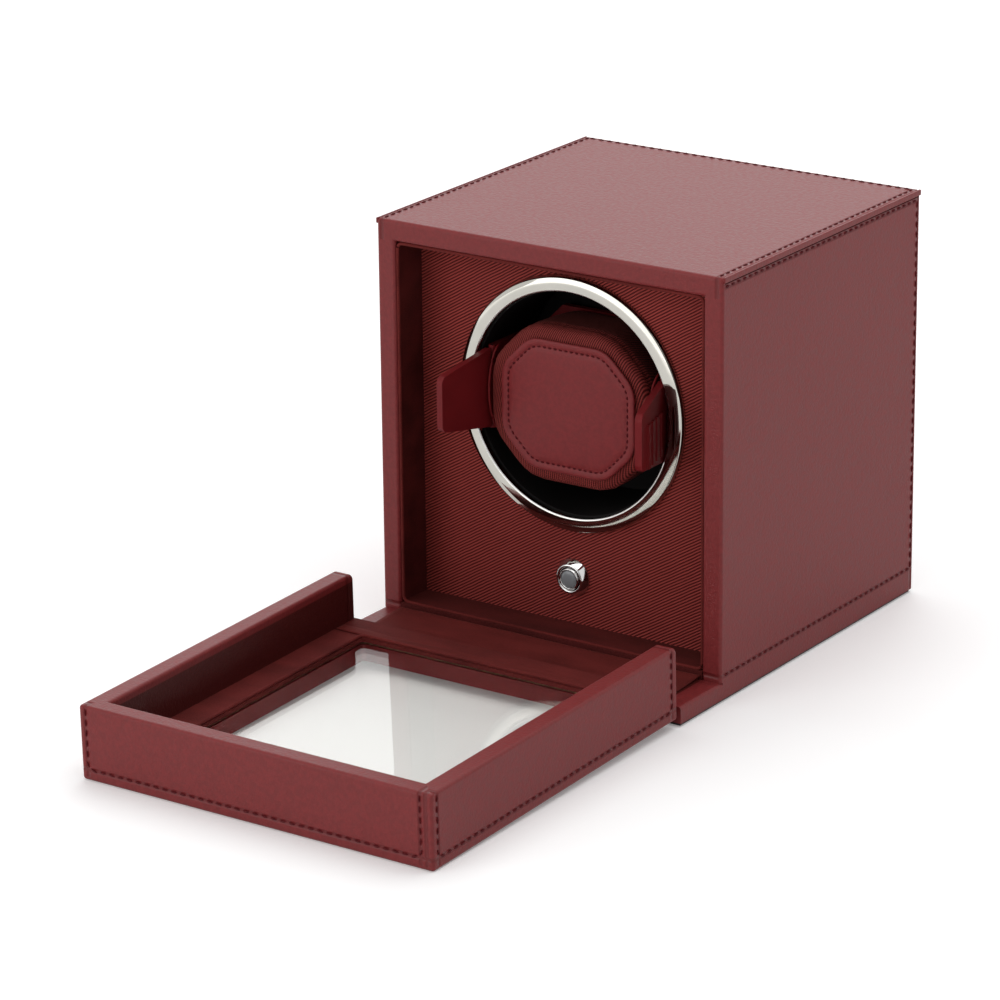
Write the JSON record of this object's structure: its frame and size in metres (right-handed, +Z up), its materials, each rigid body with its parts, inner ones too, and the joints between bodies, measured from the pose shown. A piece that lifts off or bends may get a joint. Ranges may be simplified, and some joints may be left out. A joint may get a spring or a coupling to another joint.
{
  "type": "watch winder",
  "caption": "Leather-covered cube case on a ledge, its glazed front cover lowered flat, showing a metal ring, a padded watch cuff between sprung wings and a push button.",
  "frame": {"origin": "centre of the case, on the underside of its base pad, at table height", "axes": "+Z up; the open front of the case and the lowered cover face -Y; +X to the right of someone who looks at the front"},
  "size_m": [0.14, 0.3016, 0.15],
  "materials": {
    "case_leather": "smooth grained",
    "red_lining": "matt",
    "twill": "diagonal weave",
    "cuff_leather": "soft matt",
    "red_plastic": "matt",
    "board": "raw fibreboard",
    "felt": "felt",
    "glass": "clear",
    "ring_steel": "satin",
    "chrome": "polished",
    "steel": "zinc plated",
    "black_plastic": "moulded",
    "gear_plastic": "moulded",
    "brass": "turned",
    "button_grey": "gloss",
    "circuit": "solder mask",
    "magnet": "nickel plated"
  },
  "bodies": {
    "case": {"base_board": "board", "base_pad": "felt", "board_posts": "black_plastic", "button_bezel": "chrome", "button_nut": "steel", "case_back_board": "board", "case_back_leather": "case_leather", "case_left_board": "board", "case_left_leather": "case_leather", "case_magnets": "magnet", "case_right_board": "board", "case_right_leather": "case_leather", "case_top_board": "board", "case_top_leather": "case_leather", "circuit_board": "circuit", "circuit_screws": "steel", "drum_axle": "steel", "drum_housing": "black_plastic", "fascia_fabric": "twill", "fascia_panel": "board", "gear_motor": "steel", "hinge_leather_base": "red_lining", "housing_screws": "steel", "ledge_leather": "case_leather", "ledge_lining": "red_lining", "motor_screws": "steel", "power_socket": "black_plastic", "push_switch": "black_plastic", "rear_cover": "black_plastic", "rear_cover_screws": "steel", "recess_floor": "red_lining", "recess_side_liners": "red_lining", "recess_top_liner": "red_lining", "ring_bezel": "ring_steel"},
    "cover": {"hinge_leather_cover": "red_lining", "cover_panel": "board", "cover_glass": "glass", "cover_face_leather": "case_leather", "cover_lining": "red_lining", "window_piping": "red_lining", "cover_magnets": "magnet", "cover_side_boards": "board", "cover_end_board": "board", "cover_side_leathers": "case_leather", "cover_end_leather": "case_leather"},
    "drum": {"drum_cup": "black_plastic", "drum_gear": "gear_plastic", "drum_bush": "brass"},
    "pinion": {"motor_pinion": "brass", "motor_shaft": "steel"},
    "cuff": {"cuff_frame": "red_plastic", "cuff_pad": "twill", "cuff_patch": "cuff_leather", "wing_pins": "steel"},
    "left_wing": {"cuff_left_wing": "red_plastic"},
    "right_wing": {"cuff_right_wing": "red_plastic"},
    "button": {"button_cap": "button_grey"}
  },
  "joints": [
    {"name": "cover_hinge", "type": "hinge", "parent": "case", "child": "cover", "pos_m": [0, -0.0906, 0.0055], "axis": [-1, 0, 0], "range_deg": [0, 91.39]},
    {"name": "drum_spin", "type": "hinge", "parent": "case", "child": "drum", "pos_m": [0, -0.01, 0.0902], "axis": [0, 1, 0], "continuous": true},
    {"name": "pinion_spin", "type": "hinge", "parent": "case", "child": "pinion", "pos_m": [0, -0.008, 0.04605], "axis": [0, 1, 0], "continuous": true},
    {"name": "cuff_pull", "type": "slide", "parent": "drum", "child": "cuff", "axis": [0, 1, 0], "range_m": [-0.06, 0]},
    {"name": "left_wing_press", "type": "hinge", "parent": "cuff", "child": "left_wing", "pos_m": [-0.03525, -0.047, 0.0902], "axis": [0, 0, 1], "range_deg": [0, 8], "stiffness_Nm_per_rad": 0.02},
    {"name": "right_wing_press", "type": "hinge", "parent": "cuff", "child": "right_wing", "pos_m": [0.03525, -0.047, 0.0902], "axis": [0, 0, -1], "range_deg": [0, 12], "stiffness_Nm_per_rad": 0.02},
    {"name": "button_press", "type": "slide", "parent": "case", "child": "button", "axis": [0, 1, 0], "range_m": [0, 0.001], "stiffness_N_per_m": 800, "springref_m": -0.0005}
  ],
  "couplings": [
    {"joint": "pinion_spin", "follows": "drum_spin", "ratio": -4.5}
  ]
}
